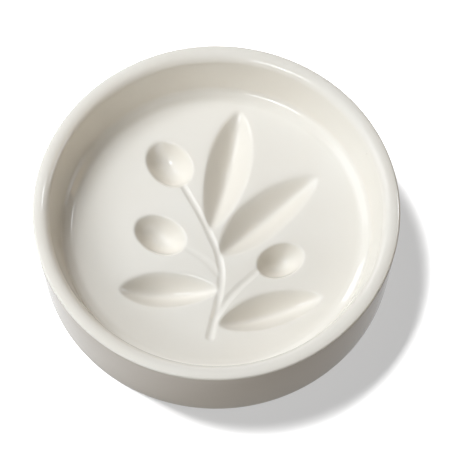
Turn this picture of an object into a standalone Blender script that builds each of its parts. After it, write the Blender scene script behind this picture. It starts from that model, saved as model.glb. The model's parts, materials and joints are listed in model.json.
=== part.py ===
"""Oil dipping dish: a round glazed stoneware dish whose floor carries an olive sprig as sunken wells.

Units are metres and +Z is up. The origin is at the middle of the foot, on the table. The sprig's stem runs
along +Y, from the front of the dish to the back.
"""

import math

import bmesh
import bpy
from mathutils import Vector

# Body of the dish
dish_diameter = 0.1200      # over the lip, where the dish is widest
dish_height = 0.0307        # table to the crest of the lip
base_diameter = 0.1175      # outer wall, where it turns under
lip_crown = 0.0070          # radius of the lip's gently domed top
lip_corner = 0.0010         # radius between the lip's top and the outer wall
lip_shoulder = 0.0026       # radius between the lip's top and the inner wall
crown_outside = 22.0        # tilt of the lip's top where it meets its corner, in degrees
crown_inside = 8.0          # tilt of the lip's top where it meets its shoulder, in degrees
floor_diameter = 0.0940     # flat part of the basin's floor
floor_height = 0.0138       # table to the basin's floor
floor_fillet = 0.0042       # radius between floor and inner wall
base_edge = 0.0008          # rounding between outer wall and foot
foot_width = 0.0075         # foot ring, outer wall to recess
foot_edge = 0.0012          # rounding of the foot ring's inner edge
recess_fillet = 0.0020      # radius between foot ring and underside
well_floor = 0.0045         # clay left between the deepest well and the underside

# Sprig sunk into the floor
sprig_margin = 0.0040       # sprig's reach to the edge of the flat floor
leaf_depth = 0.0052
leaf_keel = 0.40            # round part of a leaf's V section, as a share of its half width
olive_depth = 0.0058
stem_width = 0.0026         # at a stem's free end
stem_depth = 0.0006
stem_end_taper = 0.80       # stem's thickness at the well that it feeds, as a share of its free end's
cutter_rise = 0.0004        # how far a well's flank runs on above the floor before it closes

# Layout of the sprig, drawn in a circle of radius 1 that becomes the sprig's reach.
# A leaf has its base, its tip, half its width, the place where it is widest and its sideways bow.
leaf_layout = {
    "top_leaf": ((-0.040, 0.000), (0.184, 1.000), 0.173, 0.55, -0.018),
    "right_leaf": ((0.032, -0.219), (0.781, 0.428), 0.178, 0.44, 0.028),
    "left_leaf": ((0.009, -0.519), (-0.742, -0.511), 0.149, 0.57, 0.000),
    "lower_leaf": ((0.020, -0.805), (0.800, -0.579), 0.146, 0.48, 0.007),
}
# An olive has its centre, half its length, half its width and the heading of its length in degrees.
olive_layout = {
    "upper_olive": ((-0.366, 0.550), 0.215, 0.163, 127.5),
    "left_olive": ((-0.435, -0.056), 0.214, 0.152, 149.0),
    "right_olive": ((0.492, -0.276), 0.190, 0.138, 24.0),
}
# A stem has the points that it runs through, from its free end or fork to the well that it feeds.
stem_layout = {
    "main_stem": ((-0.052, -0.905), (0.018, -0.570), (0.030, -0.310), (-0.064, -0.021), (-0.258, 0.366)),
    "left_branch": ((0.029, -0.410), (-0.081, -0.280), (-0.241, -0.165)),
    "right_branch": ((-0.019, -0.752), (0.116, -0.557), (0.318, -0.356)),
}
leaf_bluntness = 0.58        # exponent of a leaf's outline at its ends: 0.5 is round, 1 is pointed

# Facets
turn_steps = 96
fillet_steps = 6
crown_steps = 4
corner_steps = 5
shoulder_steps = 6
edge_steps = 4
leaf_sides = 20
leaf_stations = 16
olive_sides = 28
olive_rings = 14
stem_span_steps = 5

# Sizes that follow from the ones above
dish_radius = dish_diameter / 2
base_radius = base_diameter / 2
floor_radius = floor_diameter / 2
foot_inner_radius = base_radius - foot_width
recess_height = floor_height - max(leaf_depth, olive_depth) - well_floor
sprig_radius = floor_radius - sprig_margin
crest_radius = dish_radius - lip_corner - (lip_crown - lip_corner) * math.sin(math.radians(crown_outside))


def clear_scene():
    for item in list(bpy.data.objects):
        bpy.data.objects.remove(item, do_unlink=True)


def new_collection(name):
    collection = bpy.data.collections.new(name)
    bpy.context.scene.collection.children.link(collection)
    return collection


def glazed_stoneware():
    material = bpy.data.materials.new("glazed_stoneware")
    material.use_nodes = True
    shader = material.node_tree.nodes["Principled BSDF"]
    shader.inputs["Base Color"].default_value = (0.74, 0.71, 0.66, 1.0)
    shader.inputs["Roughness"].default_value = 0.15
    shader.inputs["Metallic"].default_value = 0.0
    return material


def arc(centre, radius, start, end, steps):
    """Points of an arc in the (radius, height) plane, with both of its ends."""
    points = []
    for step in range(steps + 1):
        angle = start + (end - start) * step / steps
        points.append((centre[0] + radius * math.cos(angle), centre[1] + radius * math.sin(angle)))
    return points


def beyond(centre, distance, heading):
    """Point at a distance from a centre in the (radius, height) plane."""
    return (centre[0] + distance * math.cos(heading), centre[1] + distance * math.sin(heading))


def tangent_heading(low_centre, low_radius, high_centre, high_radius, side):
    """Heading of the normal of the line that touches two circles, on the given side of the upper one.

    A negative lower radius puts the lower circle on the other side of the line.
    """
    across = high_centre[0] - low_centre[0]
    rise = high_centre[1] - low_centre[1]
    spread = math.acos((low_radius - high_radius) / math.hypot(across, rise))
    return math.atan2(rise, across) + side * spread


def dish_profile():
    """Half section of the plain dish: basin floor, inner wall, lip, outer wall, foot and underside."""
    quarter = math.pi / 2
    crown_out = quarter - math.radians(crown_outside)
    crown_in = quarter + math.radians(crown_inside)
    crown_centre = (crest_radius, dish_height - lip_crown)
    corner_centre = beyond(crown_centre, lip_crown - lip_corner, crown_out)
    shoulder_centre = beyond(crown_centre, lip_crown - lip_shoulder, crown_in)
    fillet_centre = (floor_radius, floor_height + floor_fillet)
    base_centre = (base_radius - base_edge, base_edge)
    foot_centre = (foot_inner_radius + foot_edge, foot_edge)
    recess_centre = (foot_inner_radius - recess_fillet, recess_height - recess_fillet)
    inner_heading = tangent_heading(fillet_centre, -floor_fillet, shoulder_centre, lip_shoulder, 1)
    outer_heading = tangent_heading(base_centre, base_edge, corner_centre, lip_corner, -1)

    points = [(0.0, floor_height)]
    points += arc(fillet_centre, floor_fillet, -quarter, inner_heading - math.pi, fillet_steps)
    points += arc(shoulder_centre, lip_shoulder, inner_heading, crown_in, shoulder_steps)
    points += arc(crown_centre, lip_crown, crown_in, crown_out, crown_steps)[1:]
    points += arc(corner_centre, lip_corner, crown_out, outer_heading, corner_steps)[1:]
    points += arc(base_centre, base_edge, outer_heading, -quarter, edge_steps)
    points += arc(foot_centre, foot_edge, -quarter, -2 * quarter, edge_steps)
    points += arc(recess_centre, recess_fillet, 0.0, quarter, edge_steps)
    points.append((0.0, recess_height))
    return points


def turned_dish(collection, material):
    """Plain dish, turned from its half section, with its flat floor and underside as one face each."""
    points = dish_profile()
    mesh = bpy.data.meshes.new("dish")
    mesh.from_pydata([(radius, 0.0, height) for radius, height in points],
                     [(index, index + 1) for index in range(len(points) - 1)], [])
    mesh.materials.append(material)
    dish = bpy.data.objects.new("dish", mesh)
    collection.objects.link(dish)

    turn = dish.modifiers.new("turn", 'SCREW')
    turn.axis = 'Z'
    turn.angle = 2 * math.pi
    turn.steps = turn_steps
    turn.render_steps = turn_steps
    turn.use_merge_vertices = True
    turn.merge_threshold = 0.00005
    turn.use_smooth_shade = True

    flats = dish.modifiers.new("flat_faces", 'DECIMATE')
    flats.decimate_type = 'DISSOLVE'
    flats.angle_limit = math.radians(0.05)
    return dish


def on_floor(point, height=0.0):
    """Point of the sprig's layout, at a height above the basin's floor."""
    return Vector((point[0] * sprig_radius, point[1] * sprig_radius, floor_height + height))


def cutter_object(name, mesh, collection):
    cutter = bpy.data.objects.new(name, mesh)
    cutter.hide_render = True
    cutter.display_type = 'WIRE'
    collection.objects.link(cutter)
    return cutter


def leaf_outline(along, widest_at):
    """Half width of a leaf at a place along it, as a share of its widest: 0 at both ends."""
    if along < widest_at:
        share = along / widest_at
    else:
        share = (1 - along) / (1 - widest_at)
    return math.sin(share * math.pi / 2) ** leaf_bluntness


def leaf_section(side, outline):
    """Depth of a leaf's V section with its round keel: 1 at the widest place's keel and 0 at every rim."""
    rim = math.hypot(outline, leaf_keel)
    deepest = math.hypot(1.0, leaf_keel) - leaf_keel
    return (rim - math.hypot(side * outline, leaf_keel)) / deepest


def leaf_cutter(name, collection):
    """Solid of a leaf's well: a sphere drawn out from base to tip, with a V section below the floor.

    It reaches past the leaf's outline as its flanks run on above the floor.
    """
    base, tip, half_width, widest_at, bow = leaf_layout[name]
    overrun = (on_floor(tip) - on_floor(base)).normalized() * 2 * cutter_rise
    start = on_floor(base) - overrun
    run = on_floor(tip) + overrun - start
    across = Vector((-run.y, run.x, 0.0)).normalized()
    reach = half_width * sprig_radius + cutter_rise

    shape = bmesh.new()
    bmesh.ops.create_uvsphere(shape, u_segments=leaf_sides, v_segments=leaf_stations, radius=1.0)
    for vert in shape.verts:
        along = min(max((vert.co.z + 1) / 2, 0.0), 1.0)
        outline = leaf_outline(along, widest_at)
        turn = math.atan2(vert.co.y, vert.co.x)
        sideways = reach * outline * math.cos(turn) + bow * sprig_radius * 4 * along * (1 - along)
        if math.sin(turn) < 0:
            height = cutter_rise - (leaf_depth + cutter_rise) * leaf_section(math.cos(turn), outline)
        else:
            height = cutter_rise * (1 + outline * math.sin(turn))
        vert.co = start + run * along + across * sideways + Vector((0.0, 0.0, height))
    bmesh.ops.recalc_face_normals(shape, faces=shape.faces)

    mesh = bpy.data.meshes.new(name)
    shape.to_mesh(mesh)
    shape.free()
    return cutter_object(name, mesh, collection)


def olive_cutter(name, collection):
    """Solid of an olive's well: an ellipsoid whose widest level is just above the floor."""
    centre, half_length, half_width, heading = olive_layout[name]
    shape = bmesh.new()
    bmesh.ops.create_uvsphere(shape, u_segments=olive_sides, v_segments=olive_rings, radius=1.0)
    size = Vector((half_length * sprig_radius, half_width * sprig_radius, olive_depth + cutter_rise))
    bmesh.ops.scale(shape, vec=size, verts=shape.verts)

    mesh = bpy.data.meshes.new(name)
    shape.to_mesh(mesh)
    shape.free()
    cutter = cutter_object(name, mesh, collection)
    cutter.location = on_floor(centre, cutter_rise)
    cutter.rotation_euler.z = math.radians(heading)
    return cutter


def stem_cutter(name, collection):
    """Solid of a stem's groove: a round bar along the stem, sunk so that it cuts the groove's width."""
    bar_radius = (stem_width ** 2 / 4 + stem_depth ** 2) / (2 * stem_depth)
    points = stem_layout[name]
    curve = bpy.data.curves.new(name, 'CURVE')
    curve.dimensions = '3D'
    curve.bevel_depth = bar_radius
    curve.bevel_resolution = 2
    curve.resolution_u = stem_span_steps
    curve.use_fill_caps = True
    spline = curve.splines.new('BEZIER')
    spline.bezier_points.add(len(points) - 1)
    for index, place in enumerate(spline.bezier_points):
        share = 1 - (1 - stem_end_taper) * index / (len(points) - 1)
        place.co = on_floor(points[index], bar_radius * share - stem_depth)
        place.radius = share
        place.handle_left_type = 'AUTO'
        place.handle_right_type = 'AUTO'
    bar = bpy.data.objects.new(name, curve)
    collection.objects.link(bar)
    return as_mesh(bar, name, collection)


def as_mesh(bar, name, collection):
    """Closed mesh of a curve object, which it replaces."""
    bpy.context.view_layer.update()
    evaluated = bar.evaluated_get(bpy.context.evaluated_depsgraph_get())
    mesh = bpy.data.meshes.new_from_object(evaluated)
    shape = bmesh.new()
    shape.from_mesh(mesh)
    bmesh.ops.remove_doubles(shape, verts=shape.verts, dist=0.00001)
    bmesh.ops.recalc_face_normals(shape, faces=shape.faces)
    shape.to_mesh(mesh)
    shape.free()
    place = bar.matrix_world.copy()
    bpy.data.objects.remove(bar, do_unlink=True)
    cutter = cutter_object(name, mesh, collection)
    cutter.matrix_world = place
    return cutter


def sink(dish, cutter):
    """Cut one well or groove out of the dish."""
    cut = dish.modifiers.new(cutter.name, 'BOOLEAN')
    cut.operation = 'DIFFERENCE'
    cut.solver = 'EXACT'
    cut.object = cutter


def build():
    clear_scene()
    parts = new_collection("oil_dipping_dish")
    cutters = new_collection("well_cutters")
    dish = turned_dish(parts, glazed_stoneware())
    for name in leaf_layout:
        sink(dish, leaf_cutter(name, cutters))
    for name in olive_layout:
        sink(dish, olive_cutter(name, cutters))
    for name in stem_layout:
        sink(dish, stem_cutter(name, cutters))


build()
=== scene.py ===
"""Looks of the oil dipping dish: glaze, sunken olive sprig, bare foot, studio light and camera."""

import json
import math

import bpy
import numpy as np
from mathutils import Matrix, Vector

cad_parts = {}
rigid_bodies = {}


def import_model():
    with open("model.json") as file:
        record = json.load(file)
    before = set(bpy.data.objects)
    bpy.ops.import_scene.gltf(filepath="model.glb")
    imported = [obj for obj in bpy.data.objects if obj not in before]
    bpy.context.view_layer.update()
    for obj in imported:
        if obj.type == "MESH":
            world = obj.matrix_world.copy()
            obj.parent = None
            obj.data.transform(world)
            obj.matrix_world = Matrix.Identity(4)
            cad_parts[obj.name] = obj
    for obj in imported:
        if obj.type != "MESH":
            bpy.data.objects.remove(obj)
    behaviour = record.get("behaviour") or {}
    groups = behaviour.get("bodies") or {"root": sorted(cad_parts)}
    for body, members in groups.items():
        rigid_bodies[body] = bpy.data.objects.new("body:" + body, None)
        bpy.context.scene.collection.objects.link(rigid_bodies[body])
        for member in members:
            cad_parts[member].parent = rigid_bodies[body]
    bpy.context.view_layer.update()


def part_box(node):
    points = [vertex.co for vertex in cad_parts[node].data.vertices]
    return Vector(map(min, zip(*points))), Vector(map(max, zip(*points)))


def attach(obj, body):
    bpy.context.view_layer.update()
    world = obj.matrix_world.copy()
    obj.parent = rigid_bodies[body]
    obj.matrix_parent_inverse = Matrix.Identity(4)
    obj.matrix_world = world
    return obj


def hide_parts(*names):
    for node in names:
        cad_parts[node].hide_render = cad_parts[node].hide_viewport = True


for item in list(bpy.data.objects):
    bpy.data.objects.remove(item, do_unlink=True)
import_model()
dish_low, dish_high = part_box("dish")

# A quarter turn, in radians
quarter = math.pi / 2

# Body of the dish, in metres: the widest circle and the height come from the frame
dish_radius = (dish_high.x - dish_low.x) / 2
dish_height = dish_high.z
base_radius = 0.0590
base_edge = 0.0008

# Lip: radii of its crown, outer corner and inner shoulder, and the crown's tilt where it meets them
lip_crown = 0.0052
lip_corner = 0.0007
lip_shoulder = 0.0035
crown_outside = math.radians(11.0)
crown_inside = math.radians(22.0)
crest_radius = dish_radius - lip_corner - (lip_crown - lip_corner) * math.sin(crown_outside)

# Basin: a flat floor, a fillet, a short bevel and a corner at the foot of the wall
floor_radius = 0.0470
floor_height = 0.0138
floor_fillet = 0.0042
bevel_tilt = math.radians(28.0)
bevel_end = 0.0502
wall_corner = 0.0030

# Foot ring and the recess inside it
foot_inner_radius = 0.05125
foot_edge = 0.0012
recess_height = 0.0035
recess_fillet = 0.0020

# Sprig sunk into the floor: sizes in metres, and plain numbers that shape its wells
sprig_radius = 0.0430
leaf_depth = 0.0062
leaf_keel = 0.24
leaf_bluntness = 0.58
leaf_end_slope = 1.2
olive_depth = 0.0065
olive_fullness = 2.1
olive_rim_slope = 2.1
stem_half_width = 0.0019
stem_end_taper = 0.80
rim_softness = 0.0006
join_softness = 0.0005
outside_depth = -floor_height

# Layout of the sprig in a circle of radius 1
# Leaves: start, tip, half width, share of the length at which it is widest, and bow
leaf_layout = (
    ((-0.040, 0.000), (0.184, 1.000), 0.173, 0.55, -0.018),
    ((0.032, -0.219), (0.781, 0.428), 0.178, 0.44, 0.028),
    ((0.009, -0.519), (-0.742, -0.511), 0.149, 0.57, 0.000),
    ((0.020, -0.805), (0.800, -0.579), 0.146, 0.48, 0.007),
)
# Olives: middle, half length, half width and heading in degrees
olive_layout = (
    ((-0.366, 0.550), 0.215, 0.163, 127.5),
    ((-0.435, -0.056), 0.214, 0.152, 149.0),
    ((0.492, -0.276), 0.190, 0.138, 24.0),
)
# Stems: depth in metres, and the points on the way
stem_layout = (
    (0.00056, ((-0.052, -0.905), (0.018, -0.570), (0.030, -0.310), (-0.064, -0.021), (-0.258, 0.366))),
    (0.00026, ((0.029, -0.410), (-0.081, -0.280), (-0.241, -0.165))),
    (0.00046, ((-0.019, -0.752), (0.116, -0.557), (0.318, -0.356))),
)

# Fineness of the surface
turn_steps = 640
floor_ring_step = 0.00036
corner_steps = 16
crown_steps = 24
fillet_steps = 14
edge_steps = 8
wall_steps = 6
stem_span_steps = 24

# Glaze and clay, as plain colours; the pool and wall tones paint shade into the wells and onto the outer
# wall
glaze_tone = (0.830, 0.795, 0.725)
cloud_tone = (0.820, 0.780, 0.705)
# Pooled glaze with painted shade: slightly darker in the wells
pool_and_shade_tone = (0.822, 0.778, 0.700)
# Painted shade on the outer wall: darker under the lip, lighter towards the foot
wall_shade_top_tone = (0.640, 0.565, 0.470)
wall_shade_foot_tone = (0.730, 0.658, 0.560)
pit_tone = (0.300, 0.240, 0.180)
clay_tone = (0.560, 0.470, 0.360)
grog_tone = (0.500, 0.400, 0.290)

# Patterns: turns per metre and layers of detail, then the range over which one look passes into another
cloud_pattern = (34.0, 4.0)
wave_pattern = (75.0, 2.0)
grain_pattern = (1100.0, 3.0)
waver_pattern = (160.0, 2.0)
cloud_range = (0.35, 0.65)
wave_range = (0.3, 0.7)
grain_range = (0.3, 0.7)

# Glaze pooled in the wells, with painted shade: depths below the floor between which its tone darkens
pool_shade_start = 0.0002
pool_shade_full = 0.0025
well_depth_attribute = "well_depth"

# Painted shade on the outer wall: depths below the lip's crest between which it sets in
wall_shade_start = 0.0004
wall_shade_full = 0.0012

# Pinholes: cells per metre, a pit's core and edge as shares of a cell, draws that make one, and strength
pit_scale = 260.0
pit_core = 0.02
pit_edge = 0.05
pit_draws = (0.975, 0.98)
pit_strength = 0.7

# Bare sole of the foot: heights between which the glaze sets in, and how far its edge wavers
bare_top = 0.0007
glaze_start = 0.0009
glaze_waver = 0.0006

# Shine and unevenness: roughness, and heights of the waves and the grain in metres
glaze_roughness = (0.045, 0.085)
clay_roughness = 0.85
refractive_index = 1.5
wave_height = 0.00006
grain_height = 0.000008

# Places of a Mix node's sockets, because they share their names
mix_values = (2, 3)
mix_value_result = 0
mix_colours = (6, 7)
mix_colour_result = 2

# Stage: the pale floor's reach in metres, its tones to a camera, to gloss and to the rest, and its glow
stage_reach = 3.0
stage_tone = 0.30
stage_gloss_tone = 0.06
stage_bounce = 0.02
stage_lift = 0.505

# Light: its colours, and how much of it reaches the dish from all round
neutral = (1.0, 1.0, 1.0)
cool = (0.94, 1.00, 1.07)
pale = (0.955, 1.00, 1.045)
warm = (1.0, 0.80, 0.54)
amber = (1.0, 0.68, 0.32)
mild = (1.0, 0.92, 0.80)
world_fill = 0.01

# Lamps: azimuth and elevation in degrees, distance, width and height in metres, radiance and colour
# Windows and cards that shade the dish, and that its gloss doesn't mirror
shading_lamps = (
    ("left_window", 164, 52, 0.5, 0.42, 0.40, 2.45, pale),
    ("back_left_window", 141, 56, 1.0, 0.40, 0.35, 8.7, cool),
    ("front_left_window", 214, 38, 1.0, 0.50, 0.30, 5.8, pale),
    ("front_card", 262, 18, 1.0, 0.80, 0.25, 2.7, mild),
    ("back_card", 95, 34, 1.0, 0.80, 0.35, 0.5, amber),
    ("right_card", 5, 5, 1.0, 0.80, 0.16, 2.2, warm),
    ("right_fill", 20, 45, 1.0, 0.60, 0.40, 0.5, amber),
)
# Panes that only the dish's gloss mirrors
mirrored_lamps = (
    ("front_left_pane", 224, 49, 1.0, 0.24, 0.15, 9.5, cool),
    ("front_pane", 240, 49, 1.0, 0.22, 0.15, 9.5, cool),
    ("left_pane", 164, 44, 1.0, 0.45, 0.60, 1.8, cool),
    ("back_left_pane", 131, 26, 1.0, 0.24, 0.14, 5.0, cool),
    ("right_pane", 5, 16, 1.0, 0.40, 0.22, 5.0, cool),
    ("right_window", 0, 43, 1.0, 0.50, 0.20, 2.2, warm),
    ("back_right_pane", 42, 55, 1.0, 0.10, 0.10, 10.0, cool),
    ("back_lamp", 86, 62, 1.0, 0.16, 0.16, 0.6, cool),
    ("back_panel", 90, 16, 1.0, 0.80, 0.30, 1.5, neutral),
    ("front_strip", 300, 15, 1.0, 1.00, 0.22, 1.5, cool),
)
# Lamp that lights the stage and casts the dish's shadow on it
shadow_lamp = ("shadow_lamp", 146.7, 62.9, 1.0, 0.32, 0.32, 282, neutral)

# Camera, worked out from the ellipses of the lip and the foot; its distance is from the middle of the lip
camera_elevation = math.radians(65.26)
camera_roll = math.radians(0.58)
camera_distance = 0.720
camera_lens = 172.57
camera_sensor = 36.0
aim_point = Vector((0.0044375, -0.0064216, 0.0263410))
lip_middle = Vector((0.0, 0.0, 0.0293))


def beyond(centre, distance, heading):
    """Point at a distance from a centre in the (radius, height) plane."""
    return (centre[0] + distance * math.cos(heading), centre[1] + distance * math.sin(heading))


def arc(centre, radius, start, end, steps):
    """Points of an arc in the (radius, height) plane, with both of its ends."""
    return [beyond(centre, radius, heading) for heading in np.linspace(start, end, steps + 1)]


def between(first, last, steps):
    """Points on a straight line in the (radius, height) plane, without its two ends."""
    across = last[0] - first[0]
    rise = last[1] - first[1]
    return [(first[0] + across * share, first[1] + rise * share) for share in np.arange(1, steps) / steps]


def tangent_heading(low_centre, low_radius, high_centre, high_radius, side):
    """Heading of the normal of the line that touches two circles, on the given side of the upper one."""
    across = high_centre[0] - low_centre[0]
    rise = high_centre[1] - low_centre[1]
    spread = math.acos((low_radius - high_radius) / math.hypot(across, rise))
    return math.atan2(rise, across) + side * spread


def inside_profile(shoulder_centre):
    """Half section from the middle of the basin's floor up its wall, and the wall's heading at the lip."""
    floor_rings = round(floor_radius / floor_ring_step)
    flat = [(floor_radius * ring / floor_rings, floor_height) for ring in range(1, floor_rings)]
    fillet_centre = (floor_radius, floor_height + floor_fillet)
    fillet = arc(fillet_centre, floor_fillet, -quarter, bevel_tilt - quarter, fillet_steps)
    bevel_run = (bevel_end - fillet[-1][0]) / math.cos(bevel_tilt)
    foot_of_wall = beyond(fillet[-1], bevel_run, bevel_tilt)
    wall_centre = beyond(foot_of_wall, wall_corner, bevel_tilt + quarter)
    heading = tangent_heading(wall_centre, -wall_corner, shoulder_centre, lip_shoulder, 1)
    corner = arc(wall_centre, wall_corner, bevel_tilt - quarter, heading - math.pi, edge_steps)
    bevel = between(fillet[-1], corner[0], wall_steps)
    wall = between(corner[-1], beyond(shoulder_centre, lip_shoulder, heading), wall_steps)
    return flat + fillet + bevel + corner + wall, heading


def outside_profile(corner_centre):
    """Half section down the outer wall and under the foot, and the wall's heading at the lip."""
    base_centre = (base_radius - base_edge, base_edge)
    foot_centre = (foot_inner_radius + foot_edge, foot_edge)
    recess_centre = (foot_inner_radius - recess_fillet, recess_height - recess_fillet)
    heading = tangent_heading(base_centre, base_edge, corner_centre, lip_corner, -1)
    base = arc(base_centre, base_edge, heading, -quarter, edge_steps)
    foot = arc(foot_centre, foot_edge, -quarter, -2 * quarter, edge_steps)
    recess = arc(recess_centre, recess_fillet, 0.0, quarter, edge_steps)
    wall = between(beyond(corner_centre, lip_corner, heading), base[0], wall_steps)
    sole = between(base[-1], foot[0], wall_steps)
    under = between(recess[-1], (0.0, recess_height), wall_steps)
    return wall + base + sole + foot + recess + under, heading


def dish_profile():
    """Half section of the dish from the middle of its floor, over the lip and under the foot."""
    crown_in = quarter + crown_inside
    crown_out = quarter - crown_outside
    crown_centre = (crest_radius, dish_height - lip_crown)
    shoulder_centre = beyond(crown_centre, lip_crown - lip_shoulder, crown_in)
    corner_centre = beyond(crown_centre, lip_crown - lip_corner, crown_out)
    inside, inner_heading = inside_profile(shoulder_centre)
    outside, outer_heading = outside_profile(corner_centre)
    lip = arc(shoulder_centre, lip_shoulder, inner_heading, crown_in, corner_steps)
    lip += arc(crown_centre, lip_crown, crown_in, crown_out, crown_steps)[1:]
    lip += arc(corner_centre, lip_corner, crown_out, outer_heading, corner_steps)[1:]
    return inside + lip + outside


def soft_max(first, second, softness):
    """Larger of two values, with the corner between them rounded."""
    return (first + second + np.sqrt((first - second) ** 2 + softness ** 2)) / 2


def leaf_well(x, y, leaf):
    """Depth of a leaf's well below the floor, negative outside it."""
    base, tip, half_width, widest_at, bow = leaf
    start = np.array(base) * sprig_radius
    run = (np.array(tip) - np.array(base)) * sprig_radius
    length = np.hypot(*run)
    along = ((x - start[0]) * run[0] + (y - start[1]) * run[1]) / length ** 2
    sideways = ((y - start[1]) * run[0] - (x - start[0]) * run[1]) / length
    inside = np.clip(along, 0.0, 1.0)
    bowed = 4 * inside * (1 - inside)
    sideways = sideways - bow * sprig_radius * bowed
    share = np.where(inside < widest_at, inside / widest_at, (1 - inside) / (1 - widest_at))
    outline = np.sin(share * quarter) ** leaf_bluntness
    section = np.hypot(sideways / (half_width * sprig_radius), leaf_keel)
    rim = np.hypot(outline, leaf_keel)
    deepest = math.hypot(1.0, leaf_keel) - leaf_keel
    past_end = np.abs(along - inside) * length
    return leaf_depth * (rim - section) / deepest - leaf_end_slope * past_end


def olive_well(x, y, olive):
    """Depth of an olive's well below the floor, negative outside it."""
    centre, half_length, half_width, heading = olive
    across_x = x - centre[0] * sprig_radius
    across_y = y - centre[1] * sprig_radius
    turn = math.radians(heading)
    long_share = (across_x * math.cos(turn) + across_y * math.sin(turn)) / (half_length * sprig_radius)
    wide_share = (across_y * math.cos(turn) - across_x * math.sin(turn)) / (half_width * sprig_radius)
    reach = np.hypot(long_share, wide_share)
    bowl = 1 - np.minimum(reach, 1.0) ** olive_fullness - olive_rim_slope * np.maximum(reach - 1.0, 0.0)
    return olive_depth * bowl


def stem_path(points):
    """Points along a stem's smooth curve on the floor."""
    curve = bpy.data.curves.new("stem_path", 'CURVE')
    curve.dimensions = '3D'
    curve.resolution_u = stem_span_steps
    spline = curve.splines.new('BEZIER')
    spline.bezier_points.add(len(points) - 1)
    for place, point in zip(spline.bezier_points, points):
        place.co = (point[0] * sprig_radius, point[1] * sprig_radius, 0.0)
        place.handle_left_type = 'AUTO'
        place.handle_right_type = 'AUTO'
    holder = bpy.data.objects.new("stem_path", curve)
    bpy.context.scene.collection.objects.link(holder)
    bpy.context.view_layer.update()
    evaluated = holder.evaluated_get(bpy.context.evaluated_depsgraph_get())
    path = np.array([vertex.co[:2] for vertex in evaluated.to_mesh().vertices])
    bpy.data.objects.remove(holder, do_unlink=True)
    return path


def stem_groove(x, y, stem):
    """Depth of a stem's groove below the floor: a soft furrow, 0 outside it."""
    deepest, points = stem
    path = stem_path(points)
    depth = np.zeros(x.shape)
    for place, point in enumerate(path):
        share = 1 - (1 - stem_end_taper) * place / (len(path) - 1)
        distance = np.hypot(x - point[0], y - point[1]) / (stem_half_width * share)
        depth = np.maximum(depth, deepest * share * np.maximum(1 - distance ** 2, 0.0) ** 2)
    return depth


def sprig_depth(x, y):
    """Depth of the whole sprig below the floor, with soft glazed rims."""
    wells = [leaf_well(x, y, leaf) for leaf in leaf_layout]
    wells += [olive_well(x, y, olive) for olive in olive_layout]
    depth = np.full(x.shape, outside_depth)
    for well in wells:
        depth = soft_max(depth, np.maximum(well, outside_depth), join_softness)
    depth = soft_max(depth, 0.0, rim_softness)
    for stem in stem_layout:
        depth = np.hypot(depth, stem_groove(x, y, stem))
    return depth


def turned_faces(ring_count):
    """Faces between the rings of a turned mesh, and round the two points on its axis that follow them."""
    top_middle = ring_count * turn_steps
    under_middle = top_middle + 1
    step = np.arange(turn_steps)
    after = (step + 1) % turn_steps
    faces = []
    for ring in range(ring_count - 1):
        low = ring * turn_steps
        high = low + turn_steps
        faces += np.stack([low + step, high + step, high + after, low + after], axis=1).tolist()
    last = (ring_count - 1) * turn_steps
    faces += np.stack([np.full(turn_steps, top_middle), step, after], axis=1).tolist()
    faces += np.stack([np.full(turn_steps, under_middle), last + after, last + step], axis=1).tolist()
    return faces


def turned_mesh(name, profile):
    """Closed mesh turned from a half section that starts and ends near the axis, with the sprig sunk in."""
    radii = np.array([point[0] for point in profile])
    heights = np.array([point[1] for point in profile])
    turns = np.arange(turn_steps) * 2 * math.pi / turn_steps
    x = np.outer(radii, np.cos(turns))
    y = np.outer(radii, np.sin(turns))
    z = np.repeat(heights[:, None], turn_steps, axis=1)
    on_floor = heights == floor_height
    z[on_floor] -= sprig_depth(x[on_floor], y[on_floor])
    middle_depth = sprig_depth(np.zeros(1), np.zeros(1))[0]
    points = np.stack([x, y, z], axis=-1).reshape(-1, 3)
    points = np.vstack([points, (0, 0, floor_height - middle_depth), (0, 0, recess_height)])
    # Depth of each point below the floor, for the pooled glaze and painted shade in the wells
    well_depth = np.append(np.where(on_floor[:, None], floor_height - z, 0.0).ravel(), (middle_depth, 0.0))

    mesh = bpy.data.meshes.new(name)
    mesh.from_pydata(points.tolist(), [], turned_faces(len(profile)))
    mesh.shade_smooth()
    depth_layer = mesh.attributes.new(well_depth_attribute, 'FLOAT', 'POINT')
    depth_layer.data.foreach_set("value", well_depth.astype(np.float32))
    return mesh


def add_node(tree, kind, **settings):
    """New node with some of its own settings."""
    node = tree.nodes.new(kind)
    for name, value in settings.items():
        setattr(node, name, value)
    return node


def noise(tree, place, scale, detail):
    """Soft random value around 0.5 at each place; its scale is in turns per metre."""
    node = add_node(tree, "ShaderNodeTexNoise")
    node.inputs["Scale"].default_value = scale
    node.inputs["Detail"].default_value = detail
    tree.links.new(place, node.inputs["Vector"])
    return node.outputs["Fac"]


def ramp(tree, value, low, high, first=0.0, last=1.0):
    """Smooth step from the first level to the last as a value goes from low to high."""
    node = add_node(tree, "ShaderNodeMapRange", interpolation_type='SMOOTHSTEP')
    node.inputs["From Min"].default_value = low
    node.inputs["From Max"].default_value = high
    node.inputs["To Min"].default_value = first
    node.inputs["To Max"].default_value = last
    tree.links.new(value, node.inputs["Value"])
    return node.outputs["Result"]


def combine(tree, operation, first, second):
    """Two values added, multiplied or the like; the second may be a plain number."""
    node = add_node(tree, "ShaderNodeMath", operation=operation)
    tree.links.new(first, node.inputs[0])
    if isinstance(second, float):
        node.inputs[1].default_value = second
    else:
        tree.links.new(second, node.inputs[1])
    return node.outputs["Value"]


def blend(tree, share, first, second):
    """Colour that goes from the first to the second with a share; each may be a plain colour."""
    node = add_node(tree, "ShaderNodeMix", data_type='RGBA')
    tree.links.new(share, node.inputs["Factor"])
    for place, colour in zip(mix_colours, (first, second)):
        if isinstance(colour, tuple):
            node.inputs[place].default_value = colour + (1.0,)
        else:
            tree.links.new(colour, node.inputs[place])
    return node.outputs[mix_colour_result]


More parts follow.
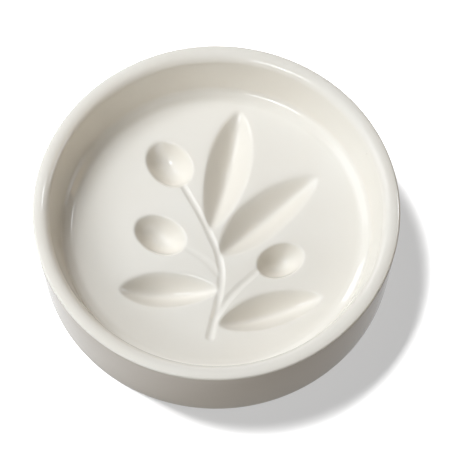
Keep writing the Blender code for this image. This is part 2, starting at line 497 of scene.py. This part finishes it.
def height_and_radius(tree, place):
    """Height of each place above the table, and its distance from the axis."""
    axes = add_node(tree, "ShaderNodeSeparateXYZ")
    tree.links.new(place, axes.inputs["Vector"])
    flat = add_node(tree, "ShaderNodeVectorMath", operation='MULTIPLY')
    flat.inputs[1].default_value = (1.0, 1.0, 0.0)
    tree.links.new(place, flat.inputs[0])
    radius = add_node(tree, "ShaderNodeVectorMath", operation='LENGTH')
    tree.links.new(flat.outputs["Vector"], radius.inputs[0])
    return axes.outputs["Z"], radius.outputs["Value"]


def pinholes(tree, place):
    """Share of 1 in the few tiny pits of the glaze."""
    cells = add_node(tree, "ShaderNodeTexVoronoi")
    cells.inputs["Scale"].default_value = pit_scale
    tree.links.new(place, cells.inputs["Vector"])
    draw = add_node(tree, "ShaderNodeSeparateColor")
    tree.links.new(cells.outputs["Color"], draw.inputs["Color"])
    near = ramp(tree, cells.outputs["Distance"], pit_core, pit_edge, 1.0, 0.0)
    return combine(tree, 'MULTIPLY', near, ramp(tree, draw.outputs["Red"], *pit_draws))


def glaze_colour(tree, place, height, radius):
    """Warm white, clouded, with pinholes; darker in the wells, where pooled glaze and painted shade deepen
    the tone, and painted shade on the outer wall, darkest under the lip.
    """
    depth = add_node(tree, "ShaderNodeAttribute", attribute_name=well_depth_attribute).outputs["Fac"]
    cloud = noise(tree, place, *cloud_pattern)
    colour = blend(tree, ramp(tree, cloud, *cloud_range), glaze_tone, cloud_tone)
    # Pooled glaze and painted shade: the tone darkens with depth in the wells
    colour = blend(tree, ramp(tree, depth, pool_shade_start, pool_shade_full), colour, pool_and_shade_tone)
    # Painted shade on the outer wall: below the lip's crest its tone darkens, most under the lip and less
    # towards the foot
    below_crest = ramp(tree, height, dish_height - wall_shade_start, dish_height - wall_shade_full)
    past_crest = ramp(tree, radius, crest_radius, base_radius - base_edge / 2)
    wall = combine(tree, 'MULTIPLY', below_crest, past_crest)
    painted_wall_shade = blend(tree, ramp(tree, height, 0.0, dish_height), wall_shade_foot_tone, wall_shade_top_tone)
    colour = blend(tree, wall, colour, painted_wall_shade)
    pits = combine(tree, 'MULTIPLY', pinholes(tree, place), pit_strength)
    return blend(tree, pits, colour, pit_tone)


def bare_share(tree, place, height):
    """Share of 1 on the foot's sole, where the clay is bare, up to a wavering edge."""
    waver = combine(tree, 'MULTIPLY', noise(tree, place, *waver_pattern), glaze_waver)
    edge = combine(tree, 'ADD', height, waver)
    return ramp(tree, edge, bare_top, glaze_start, 1.0, 0.0)


def surface_roughness(tree, wave, bare):
    """Roughness of the glaze, which varies a little with its waves, and of the bare clay."""
    shine = ramp(tree, wave, *wave_range, *glaze_roughness)
    node = add_node(tree, "ShaderNodeMix")
    tree.links.new(bare, node.inputs["Factor"])
    tree.links.new(shine, node.inputs[mix_values[0]])
    node.inputs[mix_values[1]].default_value = clay_roughness
    return node.outputs[mix_value_result]


def bumps(tree, wave, grain):
    """Normal of a surface that the waves of the glaze and its fine grain make uneven."""
    coarse = add_node(tree, "ShaderNodeBump")
    coarse.inputs["Distance"].default_value = wave_height
    tree.links.new(wave, coarse.inputs["Height"])
    fine = add_node(tree, "ShaderNodeBump")
    fine.inputs["Distance"].default_value = grain_height
    tree.links.new(grain, fine.inputs["Height"])
    tree.links.new(coarse.outputs["Normal"], fine.inputs["Normal"])
    return fine.outputs["Normal"]


def glaze_material():
    """Gloss glaze all over the dish, and bare clay on the sole of its foot."""
    material = bpy.data.materials.new("warm_white_glaze")
    material.use_nodes = True
    tree = material.node_tree
    place = add_node(tree, "ShaderNodeTexCoord").outputs["Object"]
    height, radius = height_and_radius(tree, place)
    wave = noise(tree, place, *wave_pattern)
    grain = noise(tree, place, *grain_pattern)
    bare = bare_share(tree, place, height)
    clay = blend(tree, ramp(tree, grain, *grain_range), clay_tone, grog_tone)
    colour = blend(tree, bare, glaze_colour(tree, place, height, radius), clay)

    shader = tree.nodes["Principled BSDF"]
    shader.inputs["IOR"].default_value = refractive_index
    tree.links.new(colour, shader.inputs["Base Color"])
    tree.links.new(surface_roughness(tree, wave, bare), shader.inputs["Roughness"])
    tree.links.new(bumps(tree, wave, grain), shader.inputs["Normal"])
    return material


def make_dish():
    """The dish, as one piece that stands for the solid."""
    mesh = turned_mesh("glazed_dish", dish_profile())
    mesh.materials.append(glaze_material())
    dish = bpy.data.objects.new("glazed_dish", mesh)
    bpy.context.scene.collection.objects.link(dish)
    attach(dish, "root")
    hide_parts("dish")
    return dish


def floor_material():
    """White to a camera, with the dish's shadow left on it; dimmer to gloss, and dimmest to matte light."""
    material = bpy.data.materials.new("pale_floor")
    material.use_nodes = True
    tree = material.node_tree
    tree.nodes.clear()
    path = add_node(tree, "ShaderNodeLightPath")
    camera = path.outputs["Is Camera Ray"]
    gloss = combine(tree, 'MAXIMUM', path.outputs["Is Glossy Ray"], path.outputs["Is Transmission Ray"])
    tone = combine(tree, 'MULTIPLY', camera, stage_tone)
    tone = combine(tree, 'ADD', tone, combine(tree, 'MULTIPLY', gloss, stage_gloss_tone))
    tone = combine(tree, 'MAXIMUM', tone, stage_bounce)
    ground = add_node(tree, "ShaderNodeBsdfDiffuse")
    tree.links.new(tone, ground.inputs["Color"])
    glow = add_node(tree, "ShaderNodeEmission")
    lift = combine(tree, 'MULTIPLY', combine(tree, 'MAXIMUM', camera, gloss), stage_lift)
    tree.links.new(lift, glow.inputs["Strength"])
    both = add_node(tree, "ShaderNodeAddShader")
    tree.links.new(ground.outputs["BSDF"], both.inputs[0])
    tree.links.new(glow.outputs["Emission"], both.inputs[1])
    output = add_node(tree, "ShaderNodeOutputMaterial")
    tree.links.new(both.outputs["Shader"], output.inputs["Surface"])
    return material


def make_floor():
    """Plain square stage under the dish."""
    corners = [(across * stage_reach, along * stage_reach, 0.0)
               for across, along in ((-1, -1), (1, -1), (1, 1), (-1, 1))]
    mesh = bpy.data.meshes.new("floor")
    mesh.from_pydata(corners, [], [(0, 1, 2, 3)])
    mesh.materials.append(floor_material())
    floor = bpy.data.objects.new("floor", mesh)
    bpy.context.scene.collection.objects.link(floor)
    return floor


def make_camera():
    """Camera of the photo: in front of the dish, high above it, and turned a little about its own axis."""
    data = bpy.data.cameras.new("camera")
    data.lens = camera_lens
    data.sensor_width = camera_sensor
    camera = bpy.data.objects.new("camera", data)
    bpy.context.scene.collection.objects.link(camera)
    back = Vector((0.0, -math.cos(camera_elevation), math.sin(camera_elevation)))
    camera.location = lip_middle + back * camera_distance
    look = (aim_point - camera.location).to_track_quat('-Z', 'Y')
    camera.rotation_euler = (look.to_matrix() @ Matrix.Rotation(camera_roll, 3, 'Z')).to_euler()
    bpy.context.scene.camera = camera


def make_world():
    """World that lights the dish faintly with warm light, and that a camera and gloss see as white."""
    world = bpy.context.scene.world or bpy.data.worlds.new("world")
    bpy.context.scene.world = world
    world.use_nodes = True
    tree = world.node_tree
    path = add_node(tree, "ShaderNodeLightPath")
    seen = combine(tree, 'MAXIMUM', path.outputs["Is Camera Ray"], path.outputs["Is Glossy Ray"])
    seen = combine(tree, 'MAXIMUM', seen, path.outputs["Is Transmission Ray"])
    background = tree.nodes["Background"]
    tree.links.new(blend(tree, seen, warm, neutral), background.inputs["Color"])
    tree.links.new(ramp(tree, seen, 0.0, 1.0, world_fill, 1.0), background.inputs["Strength"])


def soft_box(lamp, receiver, matte=True, gloss=True):
    """Rectangular lamp turned towards the dish from a distance, which lights only its receiver.

    Its light can be left out of the receiver's matte shading or of its gloss.
    """
    name, azimuth, elevation, distance, width, height, radiance, colour = lamp
    data = bpy.data.lights.new(name, 'AREA')
    data.shape = 'RECTANGLE'
    data.size = width
    data.size_y = height
    data.energy = math.pi * width * height * radiance
    data.color = colour
    box = bpy.data.objects.new(name, data)
    flat = math.cos(math.radians(elevation))
    turn = math.radians(azimuth)
    towards = Vector((flat * math.cos(turn), flat * math.sin(turn), math.sin(math.radians(elevation))))
    box.location = towards * distance
    box.rotation_euler = towards.to_track_quat('Z', 'Y').to_euler()
    box.visible_diffuse = matte
    box.visible_glossy = gloss
    bpy.context.scene.collection.objects.link(box)
    group = bpy.data.collections.new(name + "_receivers")
    group.objects.link(receiver)
    box.light_linking.receiver_collection = group


def make_light(dish, floor):
    """World and lamps: some shade the dish, some are only mirrored in it, and one casts its shadow."""
    make_world()
    for lamp in shading_lamps:
        soft_box(lamp, dish, gloss=False)
    for lamp in mirrored_lamps:
        soft_box(lamp, dish, matte=False)
    soft_box(shadow_lamp, floor)


dish = make_dish()
floor = make_floor()
make_camera()
make_light(dish, floor)
bpy.context.scene.view_settings.view_transform = 'Standard'
